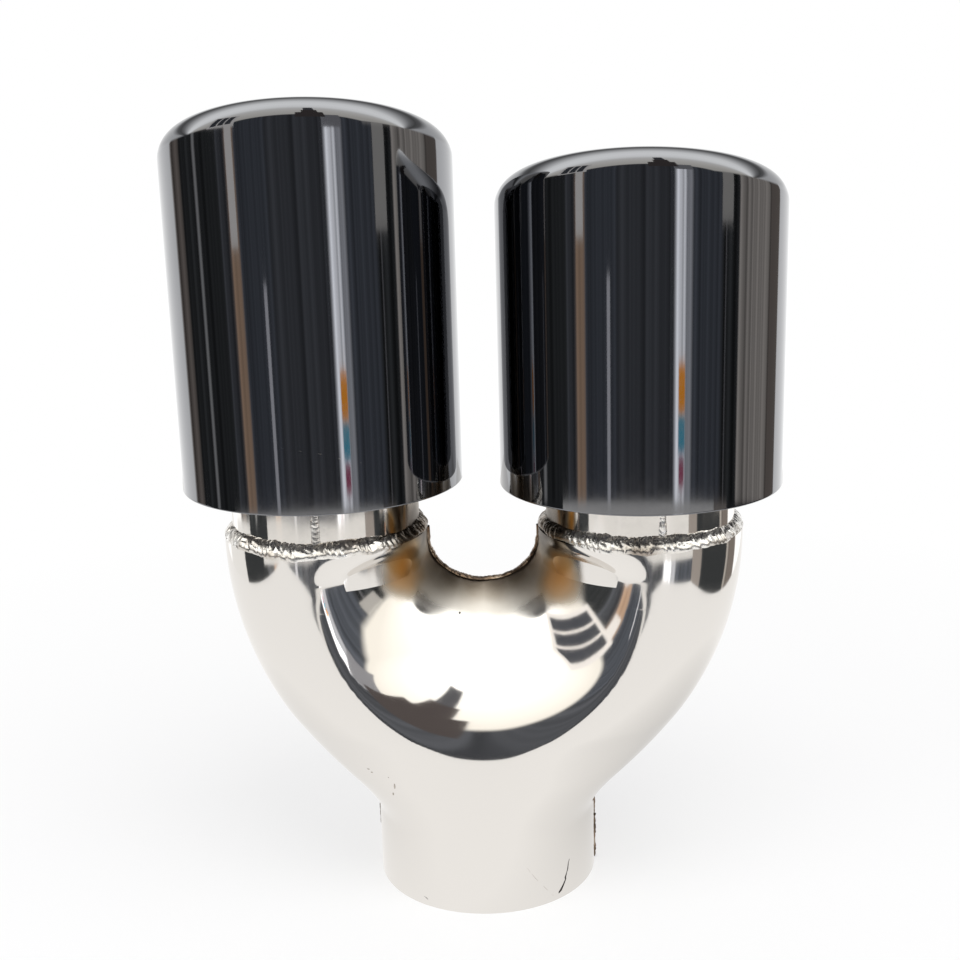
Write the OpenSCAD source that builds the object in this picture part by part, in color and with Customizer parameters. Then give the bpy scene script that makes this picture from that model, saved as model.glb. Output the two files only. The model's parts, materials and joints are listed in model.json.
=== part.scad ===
// Twin exhaust tip for a family car: a pressed and welded stainless Y collector,
// two short stub tubes and two black double-wall tips with slash-cut rolled mouths.
// Units are millimetres. Z is up, the part stands on its inlet with the mouths up.
// The origin is the centre of the inlet's end face. The front (long side of the
// mouths) looks along -Y. Left and right are as seen from the front.

/* [Piece to show] */
// Which piece to draw, or all of them

/* [Y collector] */
// Outer radius of the inlet neck
inlet_r = 41.25; // [30:0.05:60]
// Sheet thickness of the pressed halves
wall = 1.5; // [0.8:0.1:3]
// Half the distance between the two branch axes
branch_x = 57.6; // [50:0.1:80]
// Outer radius of the two outlets of the Y
outlet_r = 37.2; // [30:0.05:45]
// Height of the outlet end faces above the inlet face
outlet_z = 135; // [133:0.5:150]
// Height of the lowest point of the crotch between the branches
crotch_z = 114.4; // [108:0.1:120]
// How far the pair of outlets sits to the right of the inlet axis
outlet_shift = 1.2; // [-3:0.1:3]

/* [Stub tubes] */
// How much smaller the radius of the stub tubes is than that of the outlets
stub_step = 3; // [2:0.1:5]
// Wall thickness of the stub tubes
stub_wall = 1.5; // [1:0.1:3]
// Turn of the left stub tube's seam from the right-hand side toward the front, in degrees
stub_turn_left = 88; // [60:1:120]
// Turn of the right stub tube's seam, in degrees
stub_turn_right = 81; // [60:1:120]
// Height at which the stub tubes start, inside the outlets
stub_z0 = 121; // [120:0.5:126]
// Height at which the stub tubes end, inside the tips
stub_z1 = 178; // [165:0.5:190]

/* [Tips] */
// Outer radius of the tips
tip_r = 50.8; // [45:0.1:60]
// Sheet thickness of the tips
tip_wall = 1.2; // [0.8:0.1:2]
// Height of the bottom edge of the left tip
tip_z0_left = 153.6; // [150:0.1:165]
// Height of the bottom edge of the right tip
tip_z0_right = 151.6; // [150:0.1:165]
// Height of the highest point of the left mouth
tip_z1_left = 290.3; // [250:0.1:320]
// Height of the highest point of the right mouth
tip_z1_right = 272.4; // [240:0.1:320]
// Slash angle of the mouths in degrees
slash = 17; // [0:0.5:30]
// Turn of each slash cut toward the middle in degrees
slash_turn = 5; // [0:0.5:10]
// Share of the space between tip and inner sleeve that the outside of the rolled lip takes
lip_share = 0.58; // [0.4:0.01:0.7]

/* [Hidden] */
$fn = 96;
half_gap = 0.6;                  // half the width of the butt joint between the pressings
collar_z = 131.4;                // above this height the outlets are plain round tubes
neck_z = 18;                     // below this height the neck is a plain round tube
arc_x = 23.6;                    // centre of the branch sweep, measured from the middle
arc_zc = 132.8;                  // height of that centre
neck_blend = 12.7;               // size of the hollow curve from neck to branch
arc_r = branch_x + arc_x;        // radius of the branch centre line
left_x = outlet_shift - branch_x;  // axis of the left branch and tip
right_x = outlet_shift + branch_x; // axis of the right branch and tip
crotch_a = branch_x - outlet_r;  // half-width of the crotch opening
ridge_z = 66;                    // height where the crests start to run together
web_b = 74;                      // drop from the collars to where the middle of the front starts to fall back
stub_r = outlet_r - stub_step;   // outer radius of the stub tubes
sleeve_r = stub_r + tip_wall;    // outer radius of the inner sleeve
lip_r = lip_share * (tip_r - sleeve_r); // outer radius of the rolled lip
plate_up = 5;                    // height of the end plate above the tip's bottom edge
plate_leg = 2.4;                 // leg of the fillet weld under the end plate
weld_h = 4.6;                    // height of the fillet weld on each outlet
weld_over = 0.5;                 // how far that weld bulges over the outlet
seam_up = 0.25;                  // how far the butt welds stand over the sheet
bead_up = 0.4;                   // how far the rough bead on the neck stands over the sheet
bead_pitch = 2.5;                // distance between its lumps
bore_h = neck_z - 0.5;           // length of the sized bore in the neck
bore_step = 0.4;                 // how far the inside narrows above that bore
knee = 1.35;                     // 2 is a round crest; less gives a tighter bend along it
knee_low = 1.75;                 // the same at the foot of the web, where the crests join

// ---- pressed Y shell ----
// e is the inward offset: 0 for the outside of the sheet, wall for the inside
function smax(a, b, k) = max(a, b) + pow(max(k - abs(a - b), 0), 2) / (4 * k);
function sm(t) = let (u = min(max(t, 0), 1)) u * u * (3 - 2 * u);
function arc_in(z, r) = sqrt(max(r * r - pow(z - arc_zc, 2), 0)) - arc_x;
function w_out(z, e) = z >= arc_zc ? branch_x + outlet_r - e
                     : smax(arc_in(z, arc_r + outlet_r - e), inlet_r - e, neck_blend);
function w_in(z, e) = let (b = collar_z - crotch_z + e, u = (collar_z - z) / b)
                      z >= collar_z ? crotch_a + e
                    : u >= 1 ? 0 : (crotch_a + e) * sqrt(1 - u * u);
function depth(z, e) = outlet_r + (inlet_r - outlet_r) * (1 - sm((z - 35) / 85)) - e;
function arc_x_at(z) = sqrt(max(arc_r * arc_r - pow(z - arc_zc, 2), 0)) - arc_x;
// distance of the crest of each branch from the middle
function ridge(z) = z >= arc_zc ? branch_x : z >= ridge_z ? arc_x_at(z)
                  : smax(arc_x_at(ridge_z) + 2.03 * (z - ridge_z), 0, 16);
// sideways offset of a section, from none at the neck to all of it at the crotch
function lean(z) = outlet_shift * sm((z - neck_z) / (crotch_z - 10 - neck_z));
// column position across the half section, from the outer edge (t = 0) inward (t = 1)
function col_x(z, t, e) = let (xr = ridge(z), w = w_out(z, e), wi = w_in(z, e),
        b = z >= crotch_z - e ? 1 : sm((z - 45) / (crotch_z - e - 45)))
    (1 - b) * w * cos(90 * t) + b * (xr + (t <= 0.5 ? w - xr : xr - wi) * cos(180 * t));
// how far a point lies from the crotch outline (0) to the crest of the branches (1), found
// on a family of nested half ellipses by halving the range n times
function nest(x, u, e, lo, hi, n) = let (q = (lo + hi) / 2)
    n == 0 ? q
  : pow(x / (crotch_a + e + q * (outlet_r - e)), 2)
    + pow(u / (collar_z - crotch_z + e + q * (web_b - collar_z + crotch_z - e)), 2) > 1
    ? nest(x, u, e, q, hi, n - 1) : nest(x, u, e, lo, q, n - 1);
function crest_power(z) = knee + (knee_low - knee) * (1 - sm((z - 60) / 36))
                        + (2 - knee) * sm((z - 124) / (outlet_z - 124));
function web(x, z, e) = let (q = z >= collar_z ? (x - crotch_a - e) / (outlet_r - e)
                                               : nest(x, collar_z - z, e, 0, 1, 26))
    q >= 1 ? 1 : q <= 0 ? 0 : let (p = crest_power(z)) pow(1 - pow(1 - q, p), 1 / p);
// depth of the pressing under a column
function col_y(z, x, e) = let (xr = ridge(z), w = w_out(z, e))
    depth(z, e) * web(x, z, e) * (x <= xr ? 1 : sqrt(max(1 - pow((x - xr) / (w - xr), 2), 0)));
function sec(z, t, e) = let (x = col_x(z, t, e)) [x, max(col_y(z, x, e), half_gap)];
lowf = [0, 0, .04, .08, .12, .16, .20, .25, .30, .35, .40, .45, .50, .55, .60, .65, .70, .75,
        .80, .85, .90, .94, .97, .99, 1];
upf = [18, 36, 54, 72, 90];
nc = 12;
function lev_low(k, e) = k == 0 ? 0 : neck_z + (crotch_z - e - neck_z) * lowf[k];
function lev_up(k, e) = k >= len(upf) ? outlet_z : collar_z - (collar_z - crotch_z + e) * cos(upf[k]);
function low_row(k, e0) = let (z = lev_low(k, e0), e = e0 + (k < 2 && e0 > 0 ? bore_step : 0)) [for (j = [0 : 2 * nc])
    let (p = sec(z, (j <= nc ? j : 2 * nc - j) / nc, e)) [lean(z) + (j <= nc ? -1 : 1) * p[0], -p[1], z]];
function up_row(k, e, sg) = let (z = lev_up(k, e)) [for (j = [0 : nc])
    let (p = sec(z, (sg < 0 ? j : nc - j) / nc, e)) [lean(z) + sg * p[0], -p[1], z]];
NL = len(lowf);
NU = len(upf) + 1;
RL = 2 * nc + 1;
RU = nc + 1;
SZ = NL * RL + 2 * NU * RU;      // points in one skin
function skin(e) = concat([for (k = [0 : NL - 1]) each low_row(k, e)],
                          [for (k = [0 : NU - 1]) each up_row(k, e, -1)],
                          [for (k = [0 : NU - 1]) each up_row(k, e, 1)]);
function il(k, j) = k * RL + j;
function iu(s, k, j) = k < 0 ? il(NL - 1, (s == 0 ? 0 : nc) + j) : NL * RL + s * NU * RU + k * RU + j;
function quad(a, b, c, d, o, f) = f ? [[a + o, b + o, c + o], [a + o, c + o, d + o]]
                                    : [[a + o, c + o, b + o], [a + o, d + o, c + o]];
function skin_faces(o, f) = concat(
    [for (k = [0 : NL - 2]) for (j = [0 : 2 * nc - 1])
        each quad(il(k, j), il(k + 1, j), il(k + 1, j + 1), il(k, j + 1), o, f)],
    [for (s = [0, 1]) for (k = [-1 : NU - 2]) for (j = [0 : nc - 1])
        each quad(iu(s, k, j), iu(s, k + 1, j), iu(s, k + 1, j + 1), iu(s, k, j + 1), o, f)]);
// boundary of a skin, walked once around
edge = concat([for (j = [0 : 2 * nc]) il(0, j)], [for (k = [1 : NL - 1]) il(k, 2 * nc)],
              [for (k = [0 : NU - 1]) iu(1, k, nc)], [for (j = [nc - 1 : -1 : 0]) iu(1, NU - 1, j)],
              [for (k = [NU - 2 : -1 : 0]) iu(1, k, 0)], [il(NL - 1, nc)],
              [for (k = [0 : NU - 1]) iu(0, k, nc)], [for (j = [nc - 1 : -1 : 0]) iu(0, NU - 1, j)],
              [for (k = [NU - 2 : -1 : 0]) iu(0, k, 0)], [for (k = [NL - 1 : -1 : 1]) il(k, 0)]);
function rim_faces() = let (n = len(edge)) [for (i = [0 : n - 1])
    let (a = edge[i], b = edge[(i + 1) % n]) each [[a, b, b + SZ], [a, b + SZ, a + SZ]]];

module shell_half() difference() {
    polyhedron(points = concat(skin(0), skin(wall)),
        faces = concat(skin_faces(0, true), skin_faces(SZ, false), rim_faces()), convexity = 8);
    translate([0, 0, -1]) cylinder(r = inlet_r - wall, h = bore_h + 1);
}
module y_shell_front() color([0.80, 0.78, 0.75]) shell_half();
module y_shell_rear() color([0.78, 0.76, 0.73]) mirror([0, 1, 0]) shell_half();

// ---- butt welds that fill the joint between the two pressings ----
// strip between two rows of points in the joint plane, filling the joint's width
module strip(po, pi, hw) {
    n = len(po);
    pts = concat([for (p = po) [p[0], -hw, p[1]]], [for (p = pi) [p[0], -hw, p[1]]],
                 [for (p = po) [p[0], hw, p[1]]], [for (p = pi) [p[0], hw, p[1]]]);
    polyhedron(points = pts, faces = concat(
        [for (i = [0 : n - 2]) each [[i, i + 1, n + i + 1], [i, n + i + 1, n + i]]],
        [for (i = [0 : n - 2]) each [[2 * n + i, 3 * n + i + 1, 2 * n + i + 1],
                                     [2 * n + i, 3 * n + i, 3 * n + i + 1]]],
        [for (i = [0 : n - 2]) each [[i, 2 * n + i, 2 * n + i + 1], [i, 2 * n + i + 1, i + 1]]],
        [for (i = [0 : n - 2]) each [[n + i, n + i + 1, 3 * n + i + 1], [n + i, 3 * n + i + 1, 3 * n + i]]],
        [[0, n, 3 * n], [0, 3 * n, 2 * n]],
        [[n - 1, 3 * n - 1, 4 * n - 1], [n - 1, 4 * n - 1, 2 * n - 1]]), convexity = 6);
}
seam_h = concat([for (k = [1 : NL - 1]) lev_low(k, 0)], [for (k = [1 : NU - 1]) lev_up(k, 0)]);
// side is 1 for the right-hand outline and -1 for the left-hand one
module seam(h, side) mirror([side < 0 ? 1 : 0, 0, 0])
    strip([for (z = h) [side * lean(z) + w_out(z, 0) + seam_up, z]],
          [for (z = h) [side * lean(z) + w_out(z, wall), z]], half_gap);
module seam_weld_right() color([0.62, 0.58, 0.52]) seam(seam_h, 1);
module seam_weld_left() color([0.62, 0.58, 0.52]) seam(concat([0], seam_h), -1);
module neck_weld_bead() color([0.50, 0.43, 0.36]) union() {
    translate([inlet_r - wall, -half_gap, 0]) cube([wall + bead_up, 2 * half_gap, neck_z]);
    for (z = [bead_pitch / 2 : bead_pitch : neck_z - bead_pitch / 2])
        translate([inlet_r + bead_up, 0, z]) sphere(r = half_gap - 0.01, $fn = 16);
}
crotch_n = 12;
function crotch_line(a, e) = concat([[-crotch_a - e, outlet_z]],
    [for (t = a) [(crotch_a + e) * sin(t), collar_z - (collar_z - crotch_z + e) * cos(t)]],
    [[crotch_a + e, outlet_z]]);
module crotch_weld() color([0.50, 0.40, 0.30]) translate([outlet_shift, 0, 0]) {
    a = [for (i = [-crotch_n : crotch_n]) 90 * i / crotch_n];
    strip(crotch_line(a, -2 * seam_up), crotch_line(a, wall), half_gap);
}

// ---- stub tubes and the fillet welds that hold them in the outlets ----
module stub() difference() {
    translate([0, 0, stub_z0]) cylinder(r = stub_r, h = stub_z1 - stub_z0);
    translate([0, 0, stub_z0 - 1]) cylinder(r = stub_r - stub_wall, h = stub_z1 - stub_z0 + 2);
}
module stub_left() color([0.80, 0.78, 0.75]) translate([left_x, 0, 0]) stub();
module stub_right() color([0.80, 0.78, 0.75]) translate([right_x, 0, 0]) stub();
// raised lengthwise weld of the tube, on the front of the stub
module stub_seam(a, z1) rotate([0, 0, a - 3]) rotate_extrude(angle = 6)
    translate([stub_r, outlet_z + weld_h]) square([0.4, z1 - outlet_z - weld_h]);
module stub_seam_weld_left() color([0.66, 0.63, 0.60])
    translate([left_x, 0, 0]) stub_seam(-stub_turn_left, tip_z0_left + plate_up - plate_leg);
module stub_seam_weld_right() color([0.66, 0.63, 0.60])
    translate([right_x, 0, 0]) stub_seam(-stub_turn_right, tip_z0_right + plate_up - plate_leg);
module collar_weld() translate([0, 0, outlet_z]) rotate_extrude()
    polygon(concat([[stub_r, 0]], [for (a = [0 : 18 : 90])
        [stub_r + (stub_step + weld_over) * cos(a), weld_h * (0.16 + 0.84 * sin(a))]]));
module collar_weld_left() color([0.60, 0.57, 0.54]) translate([left_x, 0, 0]) collar_weld();
module collar_weld_right() color([0.60, 0.57, 0.54]) translate([right_x, 0, 0]) collar_weld();

// ---- tips ----
// height of the mouth plane above a point, for a mouth whose highest lip point is z1
function cut_z(z1, r, a) = z1 - tan(slash) * (r * sin(a) + tip_r);
na = 48;
module skin_of_tip(z0, z1) {
    // outline of the sheet: [radius, measured from the mouth plane or the bottom, height]
    m = tip_r - lip_r;                        // radius of the top of the roll
    si = (sleeve_r + 0.05) / cos(180 / na);   // inside radius of the returned edge
    wi = (tip_r - tip_wall) / cos(180 / na);  // inside radius of the wall
    ri = m - si;                              // radius of the inner part of the roll
    pr = concat([[tip_r, 0, 0]],
        [for (s = [0, 22.5, 45, 67.5, 90]) [m + lip_r * cos(s), 1, -lip_r + lip_r * sin(s)]],
        [for (s = [45, 90]) [m - ri * sin(s), 1, -ri + ri * cos(s)]],
        [[si, 1, -ri - 5], [si + tip_wall, 1, -ri - 5], [si + tip_wall, 1, -ri]],
        [for (s = [90, 45, 0]) [m + (wi - m) * cos(s), 1, -lip_r + (lip_r - tip_wall) * sin(s)]],
        [[wi, 0, 0.9], [wi - 0.8, 0, 0.9], [wi - 0.8, 0, 0]]);
    n = len(pr);
    pts = [for (i = [0 : na - 1]) let (a = 360 * i / na) for (p = pr)
        [p[0] * cos(a), p[0] * sin(a), (p[1] == 0 ? z0 : cut_z(z1, p[0], a)) + p[2]]];
    polyhedron(points = pts, faces = [for (i = [0 : na - 1]) for (j = [0 : n - 1])
        let (i2 = (i + 1) % na, j2 = (j + 1) % n)
        each [[i * n + j, i2 * n + j2, i2 * n + j], [i * n + j, i * n + j2, i2 * n + j2]]], convexity = 8);
}
// keeps what lies under a plane parallel to the mouth, dz below its lip
module below(z1, dz) intersection() {
    children();
    translate([0, 0, z1 - dz - tan(slash) * tip_r]) rotate([-slash, 0, 0])
        translate([-2 * tip_r, -2 * tip_r, -2 * z1]) cube([4 * tip_r, 4 * tip_r, 2 * z1]);
}
module tip_outer(z0, z1, turn) rotate([0, 0, turn]) skin_of_tip(z0, z1);
module tip_outer_left() color([0.09, 0.10, 0.12]) translate([left_x, 0, 0])
    tip_outer(tip_z0_left, tip_z1_left, slash_turn);
module tip_outer_right() color([0.09, 0.10, 0.12]) translate([right_x, 0, 0])
    tip_outer(tip_z0_right, tip_z1_right, -slash_turn);
module tip_inner(z0, z1, turn) rotate([0, 0, turn]) below(z1, 6) difference() {
    translate([0, 0, z0]) cylinder(r = sleeve_r, h = z1 - z0);
    translate([0, 0, z0 - 1]) cylinder(r = stub_r, h = z1 - z0 + 2);
}
module tip_inner_left() color([0.10, 0.10, 0.11]) translate([left_x, 0, 0])
    tip_inner(tip_z0_left + 12, tip_z1_left, slash_turn);
module tip_inner_right() color([0.10, 0.10, 0.11]) translate([right_x, 0, 0])
    tip_inner(tip_z0_right + 12, tip_z1_right, -slash_turn);
// annular end plate inside the bottom of each tip
module tip_plate(z0) translate([0, 0, z0 + plate_up]) difference() {
    cylinder(r = tip_r - tip_wall, h = tip_wall);
    translate([0, 0, -1]) cylinder(r = stub_r, h = 4);
}
module tip_plate_left() color([0.12, 0.12, 0.13]) translate([left_x, 0, 0]) tip_plate(tip_z0_left);
module tip_plate_right() color([0.12, 0.12, 0.13]) translate([right_x, 0, 0]) tip_plate(tip_z0_right);
module plate_weld(z0) translate([0, 0, z0 + plate_up]) rotate_extrude()
    polygon([[stub_r, 0], [stub_r, -plate_leg], [stub_r + 0.6 * plate_leg, -0.65 * plate_leg],
             [stub_r + plate_leg, 0]]);
module plate_weld_left() color([0.45, 0.42, 0.40]) translate([left_x, 0, 0]) plate_weld(tip_z0_left);
module plate_weld_right() color([0.45, 0.42, 0.40]) translate([right_x, 0, 0]) plate_weld(tip_z0_right);

y_shell_front();
y_shell_rear();
seam_weld_left();
seam_weld_right();
neck_weld_bead();
crotch_weld();
stub_left();
stub_right();
stub_seam_weld_left();
stub_seam_weld_right();
collar_weld_left();
collar_weld_right();
tip_outer_left();
tip_outer_right();
tip_inner_left();
tip_inner_right();
tip_plate_left();
tip_plate_right();
plate_weld_left();
plate_weld_right();
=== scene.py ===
# %% [markdown]
# A twin exhaust tip stands on its inlet: a Y collector pressed from polished stainless sheet,
# two short stub tubes, and two black chrome tips with slash-cut, rolled mouths. The packed
# solids are loaded first and stay where they are. Each visible piece is then drawn again with a
# finer mesh from the same numbers, because a mirror finish shows every facet.

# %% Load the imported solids
import json
import math

import bpy
import numpy as np
from mathutils import Matrix, Vector

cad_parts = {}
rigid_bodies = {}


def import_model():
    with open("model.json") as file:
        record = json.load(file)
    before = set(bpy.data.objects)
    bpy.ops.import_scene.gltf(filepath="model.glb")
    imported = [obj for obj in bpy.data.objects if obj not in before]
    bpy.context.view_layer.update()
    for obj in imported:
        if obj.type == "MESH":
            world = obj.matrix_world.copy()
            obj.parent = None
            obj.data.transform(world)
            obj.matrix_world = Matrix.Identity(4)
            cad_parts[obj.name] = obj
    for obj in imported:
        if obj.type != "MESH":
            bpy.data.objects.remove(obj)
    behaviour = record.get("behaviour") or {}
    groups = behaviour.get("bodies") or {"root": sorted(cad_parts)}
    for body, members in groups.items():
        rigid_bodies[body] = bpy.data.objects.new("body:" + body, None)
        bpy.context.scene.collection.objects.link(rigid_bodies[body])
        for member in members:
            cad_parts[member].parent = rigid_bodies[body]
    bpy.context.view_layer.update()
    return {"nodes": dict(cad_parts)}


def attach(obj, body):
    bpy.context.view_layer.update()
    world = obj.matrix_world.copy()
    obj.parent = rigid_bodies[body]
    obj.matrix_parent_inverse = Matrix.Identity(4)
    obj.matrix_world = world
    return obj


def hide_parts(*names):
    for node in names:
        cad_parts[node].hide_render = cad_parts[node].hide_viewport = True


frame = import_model()
print("solids:", len(frame["nodes"]))

# %% [markdown]
# These are the sizes of the real part, in millimetres, repeated from the solids' source. They
# could be read off the loaded solids, but a named number says what it is for. Keeping them in one
# place makes the drawn pieces meet the solids exactly.

# %% Sizes of the collector
INLET_R, WALL, HALF_GAP = 41.25, 1.5, 0.6            # neck outside, sheet, half of the joint's gap
BRANCH_X, OUTLET_R, OUTLET_Z = 57.6, 37.2, 135.0     # each outlet: off the middle, radius, height
NECK_Z, CROTCH_Z, COLLAR_Z = 18.0, 114.4, 131.4      # end of the neck, bottom and top of the crotch
ARC_X, ARC_ZC = 23.6, 132.8                          # centre of the arc that each branch follows
ARC_R, CROTCH_A = BRANCH_X + ARC_X, BRANCH_X - OUTLET_R
RIDGE_Z, CREST_SLOPE, CREST_BLEND = 66.0, 2.03, 16   # where the crests run together, and how
KNEE, KNEE_LOW, WEB_B, NECK_BLEND = 1.35, 1.75, 74.0, 12.7
KNEE_Z, KNEE_SPAN, ROUND_Z, SPLIT_Z = 60, 36, 124, 45
DEPTH_Z, DEPTH_SPAN = 35, 85                         # the depth narrows from the neck to the outlets
SHIFT = 1.2                                          # the fork leans to one side by this much
print("outlets apart mm:", 2 * BRANCH_X)

# %% [markdown]
# The tips are the most common outlet size, 101.6 mm across, and everything else was measured
# against them. Each stands on a stub tube, and the two differ in height.

# %% Sizes of the stub tubes and tips
STUB_R, STUB_WALL, STUB_Z0, STUB_Z1 = 34.2, 1.5, 121.0, 178.0
TIP_R, TIP_WALL, LIP_R, SLASH = 50.8, 1.2, 8.93, math.radians(17)
SLEEVE_R, SLEEVE_DROP, SLEEVE_FOOT = 35.4, 6, 12
PLATE_UP, PLATE_WALL = 5.0, 1.2
TIPS = {"left": dict(x=SHIFT - BRANCH_X, z0=153.6, z1=290.3, turn=math.radians(5)),
        "right": dict(x=SHIFT + BRANCH_X, z0=151.6, z1=272.4, turn=math.radians(-5))}
print("tip heights mm:", {k: round(t["z1"] - t["z0"], 1) for k, t in TIPS.items()})

# %% [markdown]
# Every piece here is a grid of points: rows along the piece, and points across it. Blender's own
# primitives would need much cutting and bending to get there, so one helper turns such a grid into
# a smooth mesh in metres, and puts the piece on the body.

# %% Helper: a mesh from points and faces
def add_piece(name, points, faces, node=None, sharp=35):
    mesh = bpy.data.meshes.new(name)
    mesh.from_pydata([tuple(float(c) / 1000 for c in p) for p in points], [], faces)
    mesh.validate()
    mesh.update()
    for polygon in mesh.polygons:
        polygon.use_smooth = True
    mesh.set_sharp_from_angle(angle=math.radians(sharp))
    obj = bpy.data.objects.new(name, mesh)
    bpy.context.scene.collection.objects.link(obj)
    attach(obj, "root")
    if node:
        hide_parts(node)
    print(name, "faces:", len(mesh.polygons))
    return obj


def grid_faces(rows, cols, wrap_rows, wrap_cols):
    faces = []
    for i in range(rows if wrap_rows else rows - 1):
        for j in range(cols if wrap_cols else cols - 1):
            a, b = i * cols, (i + 1) % rows * cols
            c, d = j, (j + 1) % cols
            faces.append((a + c, b + c, b + d, a + d))
    return faces


print("faces of a 3 x 4 grid:", len(grid_faces(3, 4, False, False)))

# %% [markdown]
# The pressed Y is drawn as two halves. Its outline in the plane of the joint comes first: an arc on
# the outside of each branch that runs softly into the neck, and half an ellipse for the crotch. An
# inset e gives the same line for the inner skin. Separate tubes joined by a boolean would show a
# sharp crease at the web, which a pressing doesn't have.

# %% Outline of the pressing
def soft_max(a, b, k):
    return np.maximum(a, b) + np.maximum(k - np.abs(a - b), 0) ** 2 / (4 * k)


def ease(t):
    u = np.clip(t, 0, 1)
    return u * u * (3 - 2 * u)


def arc_x(z, r):
    return math.sqrt(max(r * r - (z - ARC_ZC) ** 2, 0)) - ARC_X


def outline_out(z, e):
    if z >= ARC_ZC:
        return BRANCH_X + OUTLET_R - e
    return float(soft_max(arc_x(z, ARC_R + OUTLET_R - e), INLET_R - e, NECK_BLEND))


def outline_in(z, e):
    if z >= COLLAR_Z:
        return CROTCH_A + e
    u = (COLLAR_Z - z) / (COLLAR_Z - CROTCH_Z + e)
    return 0.0 if u >= 1 else (CROTCH_A + e) * math.sqrt(1 - u * u)


print("half width at 60, 100, 130 mm:", [round(outline_out(z, 0), 1) for z in (60, 100, 130)])

# %% [markdown]
# Its outside is a depth over that plane: full depth along the crest of each branch, falling to
# nothing at the outline. Nested half ellipses lead from the crest to the edge of the crotch, so
# the web between the branches rolls away smoothly. The place among the ellipses has no formula,
# so it is found by halving.

# %% Depth of the pressing
HALVINGS = 40


def crest(z):
    if z >= ARC_ZC:
        return BRANCH_X
    if z >= RIDGE_Z:
        return arc_x(z, ARC_R)
    return float(soft_max(arc_x(RIDGE_Z, ARC_R) + CREST_SLOPE * (z - RIDGE_Z), 0, CREST_BLEND))


def full_depth(z, e):
    return OUTLET_R + (INLET_R - OUTLET_R) * (1 - ease((z - DEPTH_Z) / DEPTH_SPAN)) - e


def web(x, z, e):
    if z >= COLLAR_Z:
        q = (x - CROTCH_A - e) / (OUTLET_R - e)
    else:
        u, low, high = COLLAR_Z - z, np.zeros_like(x), np.ones_like(x)
        for _ in range(HALVINGS):
            q = (low + high) / 2
            half_wide = CROTCH_A + e + q * (OUTLET_R - e)
            half_high = COLLAR_Z - CROTCH_Z + e + q * (WEB_B - COLLAR_Z + CROTCH_Z - e)
            outside = (x / half_wide) ** 2 + (u / half_high) ** 2 > 1
            low, high = np.where(outside, q, low), np.where(outside, high, q)
    lower = (KNEE_LOW - KNEE) * (1 - ease((z - KNEE_Z) / KNEE_SPAN))
    upper = (2 - KNEE) * ease((z - ROUND_Z) / (OUTLET_Z - ROUND_Z))
    p = KNEE + float(lower + upper)
    return (1 - (1 - np.clip(q, 0, 1)) ** p) ** (1 / p)


print("depth at the crest at 40 and 120 mm:", [round(float(full_depth(z, 0)), 1) for z in (40, 120)])

# %% [markdown]
# A section at one height runs from the outline over the crest to the middle, or to the crotch. The
# whole fork leans a little to the right above the neck, as the photograph shows.

# %% Sections of the pressing
LEAN_TOP = CROTCH_Z - 10


def lean(z):
    return SHIFT * float(ease((z - NECK_Z) / (LEAN_TOP - NECK_Z)))


def half_section(z, count, e):
    t = np.linspace(0, 1, count + 1)
    xr, w, wi = crest(z), outline_out(z, e), outline_in(z, e)
    b = 1.0 if z >= CROTCH_Z - e else float(ease((z - SPLIT_Z) / (CROTCH_Z - e - SPLIT_Z)))
    lobe = xr + np.where(t <= 0.5, w - xr, xr - wi) * np.cos(np.pi * t)
    x = (1 - b) * w * np.cos(np.pi / 2 * t) + b * lobe
    side = np.sqrt(np.clip(1 - (np.maximum(x - xr, 0) / (w - xr)) ** 2, 0, 1))
    y = np.maximum(full_depth(z, e) * web(np.clip(x, 0, None), z, e) * side, HALF_GAP)
    return x, y


print("points in a section:", len(half_section(100, 64, 0)[0]))

# %% [markdown]
# The skins of both halves are swept up in rows, first the neck and body, then each outlet on its
# own above the crotch. The rows stand closer towards the crotch, where the shape turns fastest.

# %% Rows of the pressing
COLS, LOW_ROWS, UP_ROWS, COLLAR_ROWS = 64, 120, 34, 8
ROW_CROWDING, FIRST_ROW_Z = 1.35, 9.0


def low_heights(e):
    s = np.linspace(0, 1, LOW_ROWS)
    f = 1 - (1 - s) ** ROW_CROWDING
    return np.concatenate([[0, FIRST_ROW_Z], NECK_Z + (CROTCH_Z - e - NECK_Z) * f])


def up_heights(e):
    a = np.linspace(0, np.pi / 2, UP_ROWS + 1)[1:]
    crotch = COLLAR_Z - (COLLAR_Z - CROTCH_Z + e) * np.cos(a)
    return np.concatenate([crotch, np.linspace(COLLAR_Z, OUTLET_Z, COLLAR_ROWS + 1)[1:]])


def skin(e, front):
    low, up = [], {-1: [], 1: []}
    for z in low_heights(e):
        x, y = half_section(z, COLS, e)
        left = [(lean(z) - a, front * b, z) for a, b in zip(x, y)]
        low.append(left + [(lean(z) + a, front * b, z) for a, b in zip(x[-2::-1], y[-2::-1])])
    for z in up_heights(e):
        x, y = half_section(z, COLS, e)
        up[-1].append([(lean(z) - a, front * b, z) for a, b in zip(x, y)])
        up[1].append([(lean(z) + a, front * b, z) for a, b in zip(x[::-1], y[::-1])])
    return low, up


print("rows:", len(low_heights(0)), "+", len(up_heights(0)))

# %% [markdown]
# Outer and inner skins are joined along their rim, which follows the inlet's edge, the outline, both
# outlets and the crotch. Sheet with a real wall costs little more than a bare surface, and the cut
# edge at the inlet then looks right from below.

# %% The two pressed halves
def rim_of(body, tops):
    right, left = tops[1], tops[-1]
    return (body[0] + [r[-1] for r in body[1:]] + [r[-1] for r in right[1:]] + right[-1][-2::-1]
            + [r[0] for r in right[-2:0:-1]] + [body[-1][COLS]] + [r[-1] for r in left[1:]]
            + left[-1][-2::-1] + [r[0] for r in left[-2:0:-1]] + [r[0] for r in body[:0:-1]])


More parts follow.
